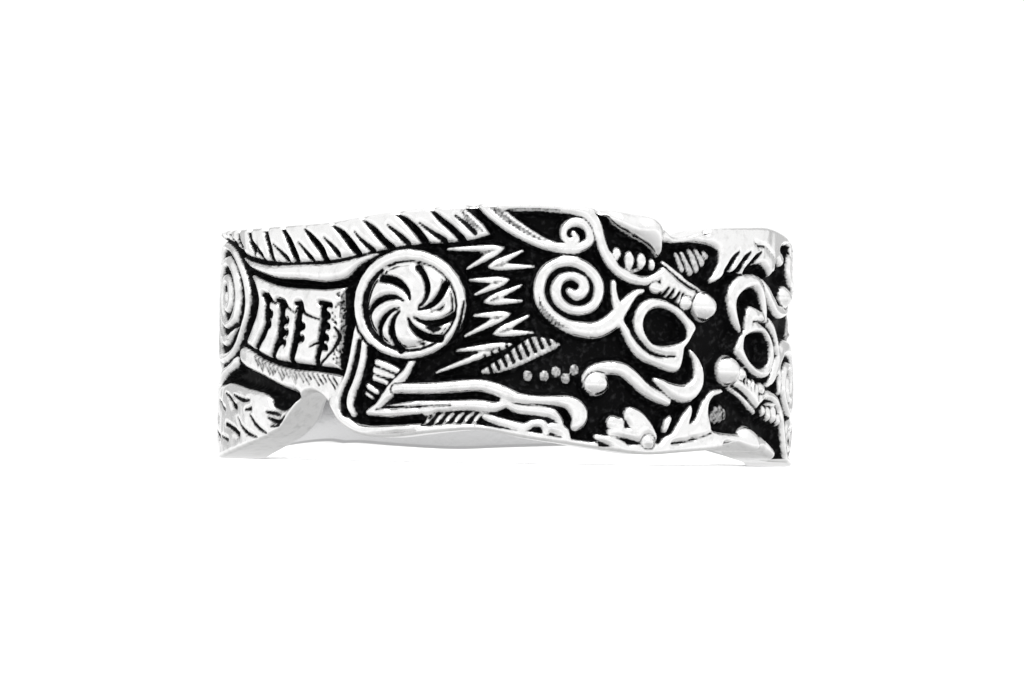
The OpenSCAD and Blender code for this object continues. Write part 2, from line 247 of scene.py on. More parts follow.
crest = {
    "line": [
        (-26.15, 4.6), (-24, 4.5), (-21, 4.25), (-19, 4), (-17, 3.9), (-15, 3.82), (-13.9, 3.62),
        (-13, 3.35), (-12.3, 3.06), (-11.5, 2.9), (-10.5, 2.74), (-9, 2.64), (-7, 2.68),
        (-6, 2.82), (-5, 2.97), (-4, 3.14), (-3, 3.22), (-2, 3.28), (-1.3, 3.38),
    ],
    "end": [(-0.68, 3.55), (-0.95, 3.92), (-1.35, 4.25), (-1.75, 4.6), (-1.9, 5.6), (-26.15, 5.6)],
    "slits": [
        [(-16.6, 4.2, 0.03), (-16.2, 4, 0.09), (-15.6, 3.85, 0.1)],
        [(-14.1, 4.1, 0.18), (-13.8, 3.72, 0.14), (-13.2, 3.42, 0.12)],
        [(-13, 4.05, 0.18), (-12.9, 3.6, 0.16), (-12.45, 3.22, 0.1)],
        [(-11.95, 4.05, 0.2), (-11.8, 3.5, 0.16), (-11.5, 3.08, 0.12)],
        [(-11.62, 3.5, 0.02), (-11.3, 3.2, 0.09), (-10.95, 2.88, 0.12)],
        [(-10.75, 3.88, 0.16), (-10.5, 3.33, 0.17), (-10.25, 2.8, 0.15)],
        [(-10.17, 3.33, 0.02), (-9.7, 3.02, 0.06), (-9.33, 2.72, 0.11)],
        [(-9.6, 3.86, 0.06), (-9.2, 3.33, 0.17), (-8.83, 2.75, 0.18)],
        [(-8.7, 3.35, 0.02), (-8.36, 3.05, 0.06), (-8, 2.7, 0.11)],
        [(-8.37, 3.83, 0.03), (-7.92, 3.42, 0.14), (-7.48, 3, 0.17), (-7.33, 2.67, 0.16)],
        [(-7.37, 3.5, 0.02), (-7, 3.17, 0.07), (-6.67, 2.85, 0.11)],
        [(-6.96, 3.92, 0.03), (-6.5, 3.6, 0.12), (-6.08, 3.17, 0.17), (-5.8, 2.86, 0.15)],
        [(-5.96, 3.67, 0.02), (-5.58, 3.29, 0.07), (-5.17, 2.97, 0.11)],
        [(-5.6, 4.1, 0.03), (-5.17, 3.75, 0.11), (-4.75, 3.33, 0.14), (-4.4, 3.05, 0.15)],
        [(-4.54, 3.88, 0.03), (-4.17, 3.58, 0.08), (-3.75, 3.22, 0.11)],
        [(-4.3, 4.34, 0.03), (-3.83, 4.04, 0.11), (-3.42, 3.67, 0.16), (-3.08, 3.25, 0.17)],
        [(-3.3, 3.96, 0.02), (-2.83, 3.62, 0.07), (-2.33, 3.32, 0.11)],
        [(-2.92, 4.47, 0.03), (-2.5, 4.08, 0.1), (-2.08, 3.75, 0.12), (-1.67, 3.35, 0.14)],
        [(-1.95, 4.22, 0.03), (-1.55, 3.9, 0.07), (-1.2, 3.58, 0.08)],
    ],
    "stainAndShade": [(-1.72, 4.4, 0.09), (-1.4, 4.05, 0.12), (-0.95, 3.68, 0.08)],
    "slender": 0.8,  # share of the slits' widths that is cut
    "edge": 0.3,
}


def drawCrest(canvas):
    line = [tuple(p) for p in smoothLine(crest["line"], 3)]
    lift(canvas, line + crest["end"], edge=crest["edge"], steps=1)
    cutAll(canvas, slimmed(crest["slits"], crest["slender"]), edge=0.11)
    stainAndShade(canvas, crest["stainAndShade"])


flank = {
    "strip": [
        (-13.3, 3.02), (-12.5, 2.9), (-11.9, 2.74), (-10.5, 2.53), (-8.5, 2.5), (-7.3, 2.5),
        (-6.5, 2.57), (-5.67, 2.73), (-5, 2.84), (-5.67, 2.52), (-6.05, 2.2), (-6.4, 1.98),
        (-7.33, 1.87), (-8.5, 1.98), (-10, 2.08), (-11, 2.3), (-11.8, 2.52), (-12.5, 2.82),
    ],
    "panel": [
        (-11.8, 2.22), (-11, 2), (-10, 1.76), (-9, 1.64), (-8, 1.58), (-7.3, 1.55),
        (-6.4, 1.6), (-6.4, 1.6), (-6.42, 0.9), (-6.38, 0.2), (-6.5, -0.6), (-6.6, -1.33), (-6.6, -1.33),
        (-7.75, -1.22), (-9, -1.1), (-10, -0.98), (-11, -0.72), (-12.05, -0.36), (-12.05, -0.36),
        (-11.4, 0.5), (-11.15, 1.1), (-11.2, 1.5), (-11.45, 1.9),
    ],
    "slots": [
        [(-10.8, 1.4, 0.12), (-10.55, 1.1, 0.2), (-10.52, 0.6, 0.2), (-10.62, 0.1, 0.19),
         (-10.92, -0.22, 0.17), (-11.3, -0.65, 0.12)],
        [(-9.75, 1.15, 0.15), (-9.6, 0.9, 0.22), (-9.62, 0.4, 0.21), (-9.68, -0.15, 0.2),
         (-9.92, -0.58, 0.17), (-10.15, -0.95, 0.12)],
        [(-8.62, 1.03, 0.14), (-8.63, 0.6, 0.2), (-8.7, 0.05, 0.2), (-8.83, -0.5, 0.2),
         (-9, -1.05, 0.16)],
        [(-7.35, 0.98, 0.16), (-7.33, 0.5, 0.18), (-7.42, 0, 0.17), (-7.5, -0.5, 0.16),
         (-7.65, -1.17, 0.13)],
    ],
    "lines": [
        [(-10.85, 1.45, 0.08), (-10.5, 1.36, 0.1), (-10.2, 1.2, 0.05), (-9.95, 1.08, 0.02)],
        [(-9.9, 1.22, 0.06), (-9.5, 1.1, 0.1), (-9.25, 0.95, 0.04), (-8.78, 0.7, 0.02)],
        [(-8.8, 1.08, 0.06), (-8.5, 1.04, 0.08), (-8.3, 0.7, 0.04), (-7.55, 0.46, 0.015)],
        [(-7.55, 1.08, 0.07), (-6.98, 0.98, 0.08)],
        [(-6.78, 0.15, 0.03), (-6.6, -0.15, 0.05), (-6.8, -0.6, 0.04), (-7.2, -1, 0.03),
         (-7.5, -1.22, 0.03)],
        [(-8, -0.55, 0.02), (-7.62, -0.4, 0.03)],
    ],
    "scallops": [
        (-10.27, 0.7), (-10.37, 0.33), (-9.3, 0.43), (-9.33, -0.02), (-9.45, -0.4),
        (-8.42, 0.2), (-8.45, -0.25), (-7.15, 0.6), (-7.15, 0.2), (-7.2, -0.22), (-7.25, -0.58),
    ],
    "scallop": (0.15, 0.11),
    "slender": 0.82,
    # a painted shade down the panel's right edge, with a shallow dent
    "stainAndShade": [
        (-6.48, 1.45, 0.04), (-6.5, 0.95, 0.13), (-6.47, 0.3, 0.12), (-6.52, -0.5, 0.08),
        (-6.6, -1.2, 0.06),
    ],
    "pits": 46,        # specks of oxide near the right edge of the panel
    "pit": 0.02,
    "pitEdge": -6.42,  # the u that they crowd at, and how far they spread from it
    "pitSpread": 0.5,
    "pitHeights": (-1.3, 1.5),
}


def drawFlank(canvas):
    lift(canvas, flank["strip"], edge=0.3)
    lift(canvas, flank["panel"], edge=0.25)
    cutAll(canvas, slimmed(flank["slots"], flank["slender"]), edge=0.1)
    cutAll(canvas, flank["lines"], edge=0.08)
    scallops = [oval(mid, *flank["scallop"], count=10) for mid in flank["scallops"]]
    cutAll(canvas, scallops, edge=0.07, steps=1)
    # painted shade down the panel's right edge
    stainAndShade(canvas, flank["stainAndShade"])
    random, size = np.random.default_rng(3), flank["pit"]
    for _ in range(flank["pits"]):
        u = flank["pitEdge"] - flank["pitSpread"] * random.random() ** 2
        v = random.uniform(*flank["pitHeights"])
        cut(canvas, [(u, v, size), (u, v + size, size)], edge=0.05, steps=1)


belly = {
    "top": [
        (-12.75, -0.5), (-12, -0.62), (-11, -0.97), (-10, -1.22), (-9, -1.38), (-7.75, -1.48),
        (-6.6, -1.62),
    ],
    "under": [
        (-6.45, -1.85), (-6.7, -2.2), (-7, -2.55), (-7.4, -2.45), (-8.2, -2.4), (-9, -2.15),
        (-9.6, -2), (-10.3, -1.78), (-11, -1.56), (-12.2, -1.25), (-12.75, -1),
    ],
    "hatch": (19, -11.5, 0.255),  # count, u of the first, and pitch
    "hatchGap": 0.06,             # under the upper line
    "hatchWide": (0.01, 0.03),
    "slant": (0.42, -0.5),
    "uneven": (0.75, 0.25, 2.3),  # mean length, its swing, and the turn from stroke to stroke
}


def drawBelly(canvas):
    lift(canvas, belly["top"] + belly["under"], top=0.85, edge=0.25)
    top = smoothLine(belly["top"])
    count, first, pitch = belly["hatch"]
    mean, swing, turn = belly["uneven"]
    thin, thick = belly["hatchWide"]
    for i in range(count):
        u = first + i * pitch
        v = np.interp(u, top[:, 0], top[:, 1]) - belly["hatchGap"]
        long = mean + swing * math.sin(turn * i)
        foot = (u + belly["slant"][0] * long, v + belly["slant"][1] * long)
        cut(canvas, [(u, v, thin), (*foot, thick)], edge=0.06, depth=0.6, steps=1)


hindFoot = {
    "outline": [
        (-17.3, -2.9), (-16.4, -2.2), (-15, -1.93), (-14, -1.87), (-13, -1.96), (-12, -2.12),
        (-11, -2.25), (-10.35, -2.45), (-10.1, -2.8), (-9.5, -2.95), (-9, -2.75), (-8.5, -2.4),
        (-8.4, -3.2), (-9.5, -4.4), (-11, -5.3), (-14, -5.6), (-17, -5.6), (-17.6, -4),
    ],
    "slits": [
        [(-14, -2.25, 0.03), (-13.5, -2.45, 0.06), (-13.1, -2.72, 0.1), (-12.75, -2.82, 0.07)],
        [(-13, -2.33, 0.03), (-12.3, -2.52, 0.06), (-11.6, -2.54, 0.03)],
        [(-13.9, -3.45, 0.06), (-13, -3.66, 0.07), (-12.5, -3.88, 0.09)],
        [(-12.6, -3.15, 0.02), (-12.2, -3.55, 0.04), (-11.7, -3.8, 0.05), (-11, -3.93, 0.02)],
        [(-11.55, -3.1, 0.03), (-11.1, -3.5, 0.05), (-10.4, -3.77, 0.03)],
        [(-14.5, -3.92, 0.03), (-13.6, -4.07, 0.05)], [(-15.2, -2.5, 0.02), (-14.1, -2.9, 0.05)],
        [(-11.9, -2.9, 0.03), (-11.5, -2.85, 0.06)], [(-16.4, -2.9, 0.03), (-15.3, -3.3, 0.07)],
        [(-16.2, -3.7, 0.03), (-14.9, -3.95, 0.06)],
        [(-10.3, -3.18, 0.03), (-10, -3.3, 0.06), (-9.6, -3.33, 0.06), (-9.3, -3.12, 0.03)],
        [(-10.4, -2.98, 0.03), (-10, -3.02, 0.05), (-9.55, -3.1, 0.03)],
        [(-10.1, -3.5, 0.03), (-9.6, -3.5, 0.05)],
    ],
}


def drawHindFoot(canvas):
    lift(canvas, hindFoot["outline"], edge=0.35)
    cutAll(canvas, hindFoot["slits"], edge=0.08, depth=0.85)


hip = {
    "disc": ((-14.6, 1.35), 1.78, 1.75),
    "ring": [
        (-16.6, 3, 0.16), (-15.2, 3.5, 0.14), (-14, 3.32, 0.13), (-13.3, 2.98, 0.13),
        (-12.74, 2.5, 0.14), (-12.28, 1.95, 0.15), (-12.06, 1.4, 0.16), (-12.14, 0.8, 0.15),
        (-12.52, 0.2, 0.14), (-12.98, -0.35, 0.14), (-13.6, -0.7, 0.16), (-14.5, -0.85, 0.18),
        (-15.5, -0.85, 0.2), (-16.5, -0.5, 0.24), (-17.1, 0.4, 0.25), (-17.2, 1.6, 0.22),
    ],
    "spiral": [
        (-13.15, 0.4, 0.06), (-13.8, 0.22, 0.1), (-14.6, 0.15, 0.12), (-15.4, 0.5, 0.13),
        (-15.85, 1.2, 0.14), (-15.7, 2, 0.14), (-15.1, 2.5, 0.14), (-14.3, 2.5, 0.15),
        (-13.65, 2.1, 0.16), (-13.4, 1.5, 0.16), (-13.6, 0.95, 0.14), (-14.2, 0.72, 0.13),
        (-14.8, 0.9, 0.12), (-15.1, 1.35, 0.12), (-14.9, 1.8, 0.13), (-14.4, 1.85, 0.13),
        (-14.15, 1.45, 0.1),
    ],
    "scratch": [(-13.9, -0.14, 0.02), (-14.6, -0.16, 0.03), (-15.3, -0.08, 0.02)],
}


def drawHip(canvas):
    lift(canvas, hip["ring"], gap=0.16)
    lift(canvas, oval(*hip["disc"]), gap=0.16, steps=1)
    cut(canvas, hip["spiral"])
    cut(canvas, hip["scratch"], edge=0.06, depth=0.5)


# The shoulder whirl and the foreleg

shoulder = {
    "ringOuter": ((-3.73, 1.01), 2.22, 1.99),
    "ringInner": ((-3.69, 0.93), 1.86, 1.67),
    "disc": ((-3.67, 0.95), 1.74, 1.58),
    "hub": (-3.63, 0.82),
    "inner": 0.38,   # radius at which the slits start
    "outer": 1.66,   # and end
    "squash": 0.93,  # height of the whirl against its width
    "thin": 0.25,    # share of its width with which a slit starts
    "widen": 1.8,    # how fast it comes to the whole width
    "slits": [
        # angle at the hub, angle at the rim, half width at the rim
        (86, 134, 0.13), (14, 80, 0.09), (-4, 36, 0.11), (-57, -9, 0.1),
        (-93, -44, 0.13), (196, 259, 0.11), (174, 223, 0.09), (124, 184, 0.1),
    ],
    "groove": [
        (-1.58, 1.1, 0.02), (-1.68, 0.55, 0.035), (-1.85, 0, 0.04), (-2.23, -0.55, 0.04),
        (-2.8, -0.97, 0.03),
    ],
    "stains": [
        [(-2.95, 0.16, 0.04), (-2.7, 0.08, 0.1), (-2.45, 0.12, 0.05)],
        [(-2.8, 0.72, 0.03), (-2.5, 0.78, 0.05), (-2.3, 0.95, 0.04)],
        [(-3.3, -0.38, 0.03), (-3.1, -0.45, 0.06)],
    ],
    "pebble": ((-4.62, 2.27), 0.1, 0.13),
}


def drawShoulder(canvas):
    s = shoulder
    cut(canvas, oval(*s["ringOuter"]), gap=0.1, steps=1)
    lift(canvas, oval(*s["ringOuter"]), top=1.05, edge=0.2, steps=1)
    cut(canvas, oval(*s["ringInner"]), edge=0.1, steps=1)
    lift(canvas, oval(*s["disc"]), top=1.1, edge=0.4, power=2, steps=1)
    for first, last, wide in s["slits"]:
        rows = []
        for t in np.linspace(0, 1, 6):
            r = s["inner"] + (s["outer"] - s["inner"]) * t
            a = math.radians(first + (last - first) * t)
            u, v = s["hub"][0] + r * math.cos(a), s["hub"][1] + s["squash"] * r * math.sin(a)
            rows.append((u, v, wide * (s["thin"] + (1 - s["thin"]) * min(1, s["widen"] * t))))
        cut(canvas, rows, edge=0.12, steps=2)
    cut(canvas, s["groove"], edge=0.05, depth=0.6)
    cutAll(canvas, s["stains"], edge=0.05, depth=0.55)
    lift(canvas, oval(*s["pebble"], count=10), top=0.5, edge=0.1, steps=1)


foreleg = {
    "outer": [
        (-5.74, 0.35, 0.12), (-5.85, -0.4, 0.17), (-5.93, -1, 0.2), (-6.1, -1.6, 0.21),
        (-6.4, -2.15, 0.23), (-6.7, -2.6, 0.3), (-6.62, -3.05, 0.3), (-6.25, -3.42, 0.28),
        (-5.7, -3.64, 0.24), (-5, -3.66, 0.22), (-4, -3.64, 0.22), (-3, -3.56, 0.22), (-2, -3.46, 0.2),
        (-1.2, -3.3, 0.14),
    ],
    "inner": [
        (-5.48, -0.35, 0.1), (-5.55, -1, 0.14), (-5.75, -1.7, 0.15), (-6.02, -2.3, 0.17),
        (-6.05, -2.75, 0.14), (-5.9, -3.02, 0.1),
    ],
    "slit": [
        (-5.7, -0.33, 0.04), (-5.77, -0.83, 0.07), (-5.97, -1.58, 0.08), (-6.28, -2.25, 0.09),
        (-6.4, -2.67, 0.09), (-6.3, -3, 0.08), (-6.08, -3.1, 0.05),
    ],
    "front": [
        (-3.55, -1.1, 0.12), (-3.75, -1.5, 0.13), (-4.15, -1.97, 0.2), (-4.52, -2.35, 0.18),
        (-4.85, -2.7, 0.12), (-5.3, -2.92, 0.06),
    ],
    "bars": [
        [(-5, -1.1, 0.09), (-4.55, -1.25, 0.11), (-4.13, -1.42, 0.08)],
        [(-5.08, -1.4, 0.09), (-4.7, -1.53, 0.09), (-4.28, -1.65, 0.06)],
        [(-5.08, -1.7, 0.09), (-4.55, -1.87, 0.07)],
        [(-5.35, -1.98, 0.08), (-4.95, -2.22, 0.07)],
        [(-5.42, -2.27, 0.06), (-5.15, -2.42, 0.05)],
    ],
    "line": [(-5.6, -3.72, 0.015), (-4.6, -3.74, 0.025), (-3.3, -3.6, 0.015)],
}


def drawForeleg(canvas):
    lift(canvas, foreleg["outer"], top=1.05, edge=0.26)
    lift(canvas, foreleg["inner"], edge=0.18)
    cut(canvas, foreleg["slit"], edge=0.1)
    lift(canvas, foreleg["front"], edge=0.2)
    liftAll(canvas, foreleg["bars"], top=0.8, edge=0.12, steps=2)
    cut(canvas, foreleg["line"], edge=0.05, depth=0.5)


forearm = {
    "top": [
        (-4.15, -2.1, 0.14), (-3.5, -2.07, 0.18), (-2.5, -2.04, 0.19), (-1.67, -1.97, 0.2),
        (-1, -1.93, 0.2), (-0.5, -2.02, 0.21), (0, -2.2, 0.21), (0.5, -2.37, 0.17),
        (1.2, -2.42, 0.13), (1.9, -2.44, 0.17), (2.4, -2.53, 0.25), (2.7, -2.8, 0.32),
        (2.74, -3.1, 0.28), (2.6, -3.35, 0.17),
    ],
    "middle": [
        (-5.3, -3, 0.06), (-4.6, -2.92, 0.18), (-3.6, -2.84, 0.28), (-2.9, -2.78, 0.26),
        (-1.9, -2.7, 0.2), (-1, -2.66, 0.2), (-0.4, -2.7, 0.17), (0, -2.6, 0.1),
    ],
    "line": [(-4.9, -2.84, 0.02), (-4.2, -2.76, 0.03), (-3.2, -2.73, 0.025), (-2.0, -2.65, 0.02)],
    "slot": [(-5.8, -3.3, 0.04), (-5, -3.34, 0.1), (-4, -3.2, 0.1), (-3.1, -3.08, 0.08)],
    "patch": [
        (-3.1, -3.3), (-2.6, -2.96), (-2.1, -2.9), (-1.2, -2.86), (-0.85, -3), (-1.05, -3.3),
        (-2, -3.32), (-3, -3.42),
    ],
    "wrinkles": (6, -3, 0.36),  # count, u of the first, and pitch
    # each point's place after the u of its wrinkle, half width, and rise from one to the next
    "wrinkle": [(0, -3.34, 0.03, 0), (0.16, -3.14, 0.06, 0.01), (0.36, -2.98, 0.03, 0.01)],
    "wrist": [
        [(-0.1, -2.45, 0.1), (0.3, -2.72, 0.14), (0.8, -2.8, 0.15), (1.4, -2.84, 0.16),
         (1.8, -2.95, 0.16), (2.05, -3.2, 0.1)],
        [(-0.75, -3.06, 0.1), (-0.3, -3.2, 0.13), (0.3, -3.34, 0.13), (0.75, -3.4, 0.13),
         (1, -3.28, 0.12), (1.4, -3.3, 0.13), (1.5, -3.6, 0.1)],
        [(-1, -3.5, 0.14), (0, -3.68, 0.17), (1, -3.78, 0.18), (1.7, -3.88, 0.14), (3.4, -4.05, 0.1)],
        [(1.72, -3.42, 0.17), (2.1, -3.52, 0.2), (2.3, -3.78, 0.12)],
    ],
}


def drawForearm(canvas):
    f = forearm
    lift(canvas, f["middle"], edge=0.2)
    cut(canvas, f["patch"], edge=0.06, depth=0.8)
    liftAll(canvas, repeated(f["wrinkle"], *f["wrinkles"]), top=0.6, edge=0.1)
    cut(canvas, f["slot"], edge=0.1)
    cut(canvas, f["line"], edge=0.05, depth=0.7)
    lift(canvas, f["top"], edge=0.2, gap=0.06)
    liftAll(canvas, f["wrist"], top=0.9, edge=0.16)


# The mane, the feather behind it and the beads under the jowl

mane = {
    # point, then the ends of its two tongues
    "tufts": [
        ((-0.15, 3.08), (-2.25, 3), (-1.5, 2.3)),
        ((-0.72, 2.36), (0.55, 2.98), (0.98, 2.42)),
        ((0.05, 1.92), (-1.4, 1.88), (-1.2, 1.36)),
        ((-0.85, 1.1), (0.52, 1.72), (0.55, 1.15)),
        ((0.12, 0.68), (-1.22, 0.6), (-1.55, -0.15)),
        ((-0.48, -0.05), (0.82, 0.63), (0.98, 0.02)),
        ((0.18, -0.42), (-1.85, -0.68), (-2.6, -1.48)),
    ],
    # share of the way from a tuft's point, and half width there
    "tongue": [(0, 0.02), (0.2, 0.095), (0.5, 0.095), (1, 0.03)],
    "web": 0.5,  # share of a tongue that the web between them reaches
    "stainAndShade": [(0.18, 0.05), (0.36, 0.1)],  # between the tongues, given as a tongue is
    "feather": [
        (-0.95, -1.42), (-0.2, -0.95), (0.6, -0.35), (1.15, -0.12), (2.05, -0.38), (1.2, -0.85),
        (0.2, -1.3), (-0.6, -1.5),
    ],
    "barbs": (10, -0.75, 0.27),  # they and a barb are given as the foreleg's wrinkles are
    "barb": [(0.22, -1.45, 0.05, 0.13), (-0.06, -0.85, 0.035, 0.13)],
    "beads": [(0.82, -1.55), (1.45, -1.55), (1.9, -1.38), (2.28, -1.62), (2.6, -1.3)],
    "bead": (0.17, 0.1955),
}


def drawMane(canvas):
    for point, *ends in mane["tufts"]:
        point, ends = np.array(point), np.array(ends)
        web = np.vstack([point, point + mane["web"] * (ends - point)])
        lift(canvas, web, top=0.5, edge=0.25, bright=-0.014, steps=1)
        for end in ends:
            row = [(*(point + share * (end - point)), wide) for share, wide in mane["tongue"]]
            lift(canvas, row, top=0.85, edge=0.14)
        middle = ends.mean(axis=0)
        row = [(*(point + share * (middle - point)), wide) for share, wide in mane["stainAndShade"]]
        stainAndShade(canvas, row, steps=1)
    lift(canvas, mane["feather"], top=0.6, edge=0.2, bright=0.005, steps=2)
    cutAll(canvas, repeated(mane["barb"], *mane["barbs"]), edge=0.06, steps=1)
    beads = [oval(mid, *mane["bead"], count=12) for mid in mane["beads"]]
    liftAll(canvas, beads, top=0.35, edge=0.3, bright=-0.005, steps=1)


# The head: ear and eyelid in one stroke, jowl spiral, eye, brow, snout and jaws

ear = {
    "top": [
        (-0.3, 4.62, 0.14), (0.3, 4.62, 0.2), (1.4, 4.62, 0.22), (2.3, 4.58, 0.22),
        (2.92, 4.4, 0.2), (3.28, 4, 0.19), (3.45, 3.5, 0.18), (3.62, 3.05, 0.18),
        (3.95, 2.55, 0.18), (4.45, 2.18, 0.17), (5, 2.03, 0.16), (5.5, 2.05, 0.15),
        (5.9, 2.25, 0.14), (6.08, 2.42, 0.1),
    ],
    "under": [
        (-1.15, 4.9, 0.22), (-0.7, 4.5, 0.27), (-0.25, 4.15, 0.28), (0.28, 3.79, 0.27),
        (0.85, 3.47, 0.23), (1.4, 3.23, 0.19), (2, 3.1, 0.17), (2.6, 3.12, 0.17),
        (3, 3.35, 0.16), (3.04, 3.72, 0.16), (2.8, 4, 0.16), (2.4, 4.05, 0.15),
        (2.08, 3.85, 0.13), (2.05, 3.52, 0.11), (2.3, 3.34, 0.12), (2.52, 3.48, 0.13), (2.42, 3.64, 0.09),
    ],
    "stainAndShade": [
        (-0.7, 4.58, 0.1), (-0.2, 4.19, 0.14), (0.35, 3.83, 0.13), (0.9, 3.51, 0.1),
        (1.5, 3.27, 0.05),
    ],
    # a painted shade along the underside of the top stroke, with a shallow dent
    "topPaintedShade": [(0.0, 4.5, 0.05), (0.8, 4.5, 0.08), (1.9, 4.47, 0.05)],
}

jowl = {
    "spiral": [
        (5.25, 1.64, 0.06), (4.85, 1.5, 0.13), (4.4, 1, 0.24), (4, 0.5, 0.3), (3.4, 0.17, 0.29),
        (2.75, 0.17, 0.27), (2.15, 0.32, 0.22), (1.6, 0.68, 0.2), (1.25, 1.15, 0.2),
        (1.17, 1.65, 0.2), (1.35, 2.2, 0.2), (1.8, 2.55, 0.18), (2.4, 2.63, 0.18),
        (2.95, 2.42, 0.19), (3.35, 2, 0.19), (3.44, 1.55, 0.19), (3.25, 1.08, 0.18),
        (2.8, 0.86, 0.16), (2.3, 0.9, 0.16), (1.9, 1.2, 0.18), (1.78, 1.62, 0.19),
        (1.98, 1.98, 0.17), (2.4, 2.1, 0.14), (2.78, 1.92, 0.17), (2.85, 1.6, 0.2),
        (2.58, 1.4, 0.18), (2.3, 1.55, 0.12),
    ],
    "prong": [(4.0, 1.9, 0.1), (4.02, 1.5, 0.11), (4.12, 1.1, 0.15)],
    # a painted shade on the lower left of the spiral, with a shallow dent
    "stainAndShade": [
        (1.16, 1.35, 0.04), (1.25, 1, 0.09), (1.52, 0.65, 0.12), (1.92, 0.34, 0.1),
        (2.4, 0.14, 0.04),
    ],
}

eye = {
    "ovals": [
        ((4.12, 2.97), 0.16, 0.22), ((4.62, 2.75), 0.185, 0.33), ((5.13, 2.74), 0.185, 0.29),
        ((5.58, 2.63), 0.13, 0.2),
    ],
    "crescent": [(4.5, 2.42, 0.03), (4.8, 2.36, 0.05), (5.1, 2.42, 0.03)],
    "under": ((5.76, 1.77), 0.28, 0.19, -12),
    "brow": [
        (3.6, 4.7), (3.78, 4.3), (4.1, 3.92), (4.5, 3.7), (5.17, 3.45), (5.58, 3.2), (5.82, 2.92),
        (6, 3.05), (6.07, 3.4), (6.12, 3.78), (6.05, 4.1), (5.5, 4.47), (4.5, 4.62),
    ],
    "browDent": [(4.05, 3.95, 0.05), (4.3, 3.8, 0.09), (4.7, 3.68, 0.03)],
    # the second beast's brow lies nearer to its snout, with a stain on it
    "otherBrow": [
        (4.35, 5.2), (4.6, 4.35), (4.95, 3.95), (5.55, 3.64), (6.15, 3.42), (6.5, 3.26),
        (6.85, 3.24), (7.15, 3.4), (7.3, 3.7), (7.34, 5.2),
    ],
    "otherDent": [(5.78, 3.82, 0.04), (5.68, 4.05, 0.12), (5.72, 4.3, 0.08)],
    "browHeight": 1.55,
    "browEdge": 0.75,
}


def drawHead(canvas, brow, dent):
    lift(canvas, ear["under"], edge=0.19)
    stainAndShade(canvas, ear["stainAndShade"])
    lift(canvas, jowl["spiral"], edge=0.24)
    lift(canvas, jowl["prong"], edge=0.16)
    # painted shade on the jowl spiral's lower left
    stainAndShade(canvas, jowl["stainAndShade"])
    lift(canvas, ear["top"], edge=0.2, gap=0.05)
    # painted shade under the ear's top stroke
    stainAndShade(canvas, ear["topPaintedShade"])
    liftAll(canvas, [oval(*row, count=14) for row in eye["ovals"]], edge=0.2, steps=1)
    lift(canvas, eye["crescent"], top=0.5, edge=0.1)
    lift(canvas, oval(*eye["under"]), edge=0.2, gap=0.05, steps=1)
    lift(canvas, brow, top=eye["browHeight"], edge=eye["browEdge"], gap=0.12, power=2, steps=3)
    cut(canvas, dent, edge=0.15, depth=0.25)


snout = {
    "bridge": [
        (6, 2.52), (6.4, 2.33), (6.9, 2), (7.4, 1.77), (8, 1.6), (7.7, 1.25), (7.2, 0.98),
        (6.9, 1.12), (6.6, 1.42), (6.15, 1.5), (5.98, 1.9),
    ],
    "strip": [(6.1, 2.72, 0.05), (6.6, 2.43, 0.07), (7.2, 2.08, 0.06), (7.9, 1.8, 0.04)],
    "ribs": [
        [(6.1, 1.42, 0.06), (6.3, 1.8, 0.03)], [(6.38, 1.4, 0.07), (6.55, 1.75, 0.03)],
        [(6.62, 1.25, 0.07), (6.82, 1.65, 0.03)], [(6.86, 1.05, 0.06), (7, 1.6, 0.04)],
    ],
    "nostril": ((7.17, 1.27), 0.28, 0.24),
    "ball": ((8.05, 1.17), 0.58, 0.57),
    "ballHeight": 1.65,
}

jaws = {
    "mouth": [
        (7.62, 0.42), (7.2, 0.78), (6.6, 1.15), (6, 1.35), (5.4, 1.33), (4.98, 1), (4.82, 0.5),
        (4.98, 0), (5.4, -0.4), (5.83, -0.62), (6.6, -0.7), (7.1, -0.35), (7.45, 0.1),
    ],
    "hollow": [
        (7.14, 0.33), (6.83, 0.67), (6.4, 0.93), (5.92, 1.04), (5.45, 0.9), (5.2, 0.5), (5.28, 0.12),
        (5.55, -0.2), (5.83, -0.33), (6.3, -0.32), (6.67, -0.25), (7.05, -0.12), (7.13, 0.05),
    ],
    "lip": [
        (4.22, 0.4), (4.45, 0.45), (4.85, -0.05), (5.25, -0.45), (5.75, -0.72), (6.3, -0.72),
        (6.92, -0.25), (7.05, -0.4), (6.98, -0.85), (6.78, -1.26), (6.3, -1.25), (5.75, -1.08),
        (5.1, -0.85), (4.62, -0.38),
    ],
    "lipLine": [
        (4.7, 0.1, 0.03), (5.1, -0.33, 0.04), (5.6, -0.62, 0.05), (6.1, -0.73, 0.03),
        (6.6, -0.72, 0.02),
    ],
    "chin": [
        (7.42, -0.5, 0.05), (7.7, -0.88, 0.16), (7.83, -1.35, 0.24), (7.68, -1.8, 0.3),
        (7.2, -2.08, 0.32), (6.6, -2, 0.27), (6.1, -1.76, 0.17), (5.78, -1.6, 0.07),
    ],
    # the second beast's chin is a wider arch
    "otherChin": [
        (7.3, -0.35, 0.05), (7.62, -0.75, 0.16), (7.82, -1.25, 0.24), (7.78, -1.7, 0.28),
        (7.4, -2.05, 0.3), (6.85, -2.22, 0.26), (6.35, -2.24, 0.22), (5.98, -2, 0.2),
        (5.78, -1.65, 0.18), (5.64, -1.2, 0.14), (5.54, -0.8, 0.07),
    ],
    "curl": [
        (3.3, -2.2, 0.08), (3.03, -1.95, 0.12), (3, -1.58, 0.17), (3.35, -1.28, 0.2),
        (3.9, -1.2, 0.23), (4.4, -1.25, 0.24), (4.85, -1.53, 0.25), (5.35, -1.93, 0.23),
        (5.9, -2.22, 0.2), (6.4, -2.42, 0.12),
    ],
    "curlBall": ((3.4, -1.8), 0.48, 0.42),
    "curlHeight": 1.3,
}


